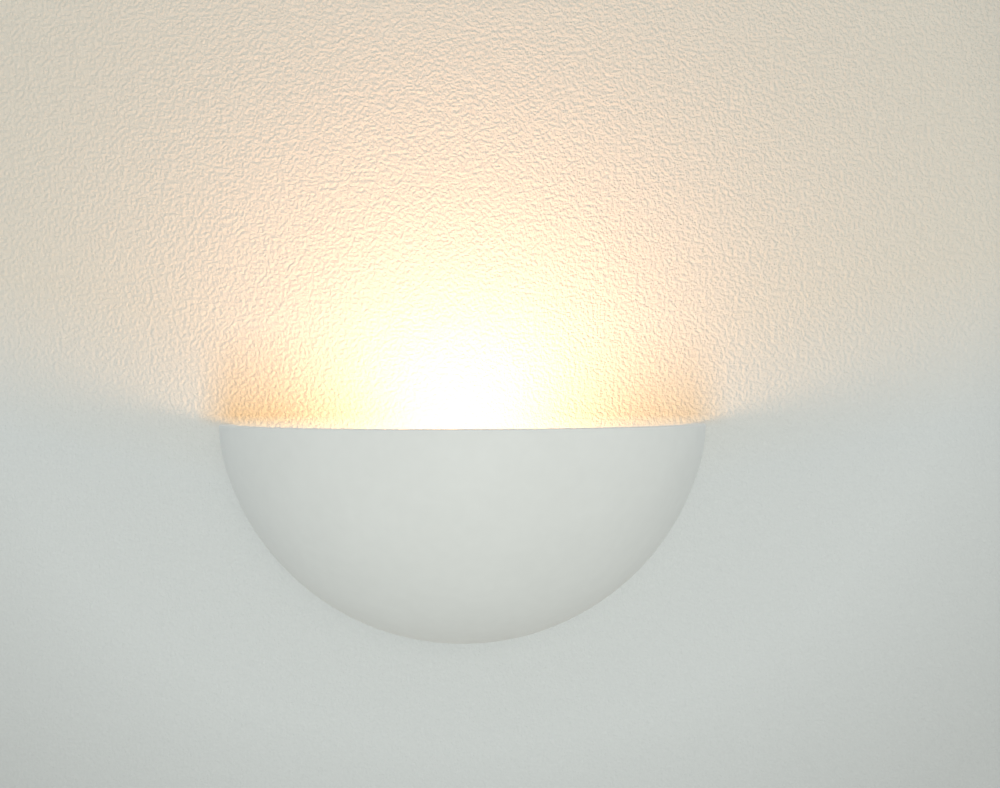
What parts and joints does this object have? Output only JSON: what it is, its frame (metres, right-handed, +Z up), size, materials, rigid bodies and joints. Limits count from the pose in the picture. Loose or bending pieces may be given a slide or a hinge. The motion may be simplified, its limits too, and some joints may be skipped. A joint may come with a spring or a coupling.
{
  "type": "uplighter wall sconce",
  "caption": "Half-bowl plaster uplighter for a wall, hung on a steel strap with finger nuts, with lampholder, round lamp and terminal block.",
  "frame": {"origin": "on the wall, midway between the two wall screws", "axes": "+X along the wall to the right as seen from the room, +Y into the wall, +Z up"},
  "size_m": [0.31, 0.125, 0.14],
  "materials": {
    "plaster": "matte",
    "zinc_steel": "satin",
    "bright_screw": "satin",
    "brass": "satin",
    "nickel": "polished",
    "porcelain": "gloss",
    "white_nylon": "satin",
    "black_rubber": "matte",
    "red_fibre": "satin",
    "frosted_glass": "satin",
    "clear_glass": "gloss",
    "black_glass": "gloss",
    "filament": "matte",
    "brown_lead": "satin",
    "blue_lead": "satin",
    "earth_lead": "satin"
  },
  "bodies": {
    "wall_frame": {"wall_plate": "zinc_steel", "bowl_studs": "bright_screw", "cable_grommet": "black_rubber", "holder_bracket": "zinc_steel", "bracket_rivets": "bright_screw", "holder_body": "porcelain", "holder_screws": "bright_screw", "contact_block": "porcelain", "centre_contact": "brass", "thread_shell": "brass", "holder_terminals": "brass", "terminal_body": "white_nylon", "terminal_tubes": "brass", "terminal_clamp_screws": "bright_screw", "terminal_fixing_screws": "bright_screw", "earth_lug": "nickel", "earth_washer": "bright_screw", "earth_screw": "brass", "live_lead": "brown_lead", "neutral_lead": "blue_lead", "earth_lead": "earth_lead"},
    "bowl_set": {"bowl": "plaster", "hanger_plates": "zinc_steel", "hanger_plate_screws": "bright_screw", "cushion_washers": "red_fibre"},
    "left_washer": {"nut_washer_left": "bright_screw"},
    "left_nut": {"knurled_nut_left": "brass"},
    "right_washer": {"nut_washer_right": "bright_screw"},
    "right_nut": {"knurled_nut_right": "brass"},
    "lamp_contact": {"lamp_eyelet": "nickel"},
    "lamp": {"cap_insulator": "black_glass", "lamp_cap": "nickel", "lamp_glass": "frosted_glass", "lamp_stem": "clear_glass", "filament": "filament", "filament_wires": "bright_screw"}
  },
  "joints": [
    {"name": "bowl_pull_off", "type": "slide", "parent": "wall_frame", "child": "bowl_set", "axis": [0, -1, 0], "range_m": [0, 0.15]},
    {"name": "left_nut_travel", "type": "slide", "parent": "bowl_set", "child": "left_washer", "axis": [0, -1, 0], "range_m": [0, 0.012]},
    {"name": "left_nut_turn", "type": "hinge", "parent": "left_washer", "child": "left_nut", "pos_m": [-0.097, -0.03, 0], "axis": [0, -1, 0], "range_deg": [0, 4321]},
    {"name": "right_nut_travel", "type": "slide", "parent": "bowl_set", "child": "right_washer", "axis": [0, -1, 0], "range_m": [0, 0.012]},
    {"name": "right_nut_turn", "type": "hinge", "parent": "right_washer", "child": "right_nut", "pos_m": [0.097, -0.03, 0], "axis": [0, -1, 0], "range_deg": [0, 4321]},
    {"name": "lamp_travel", "type": "slide", "parent": "wall_frame", "child": "lamp_contact", "axis": [0, 0, 1], "range_m": [0, 0.01411]},
    {"name": "lamp_turn", "type": "hinge", "parent": "lamp_contact", "child": "lamp", "pos_m": [0, -0.045, 0], "axis": [0, 0, 1], "range_deg": [0, 1801]}
  ],
  "couplings": [
    {"joint": "left_nut_turn", "follows": "left_nut_travel", "rad_per_m": 6283.2},
    {"joint": "right_nut_turn", "follows": "right_nut_travel", "rad_per_m": 6283.2},
    {"joint": "lamp_turn", "follows": "lamp_travel", "rad_per_m": 2226.5}
  ]
}
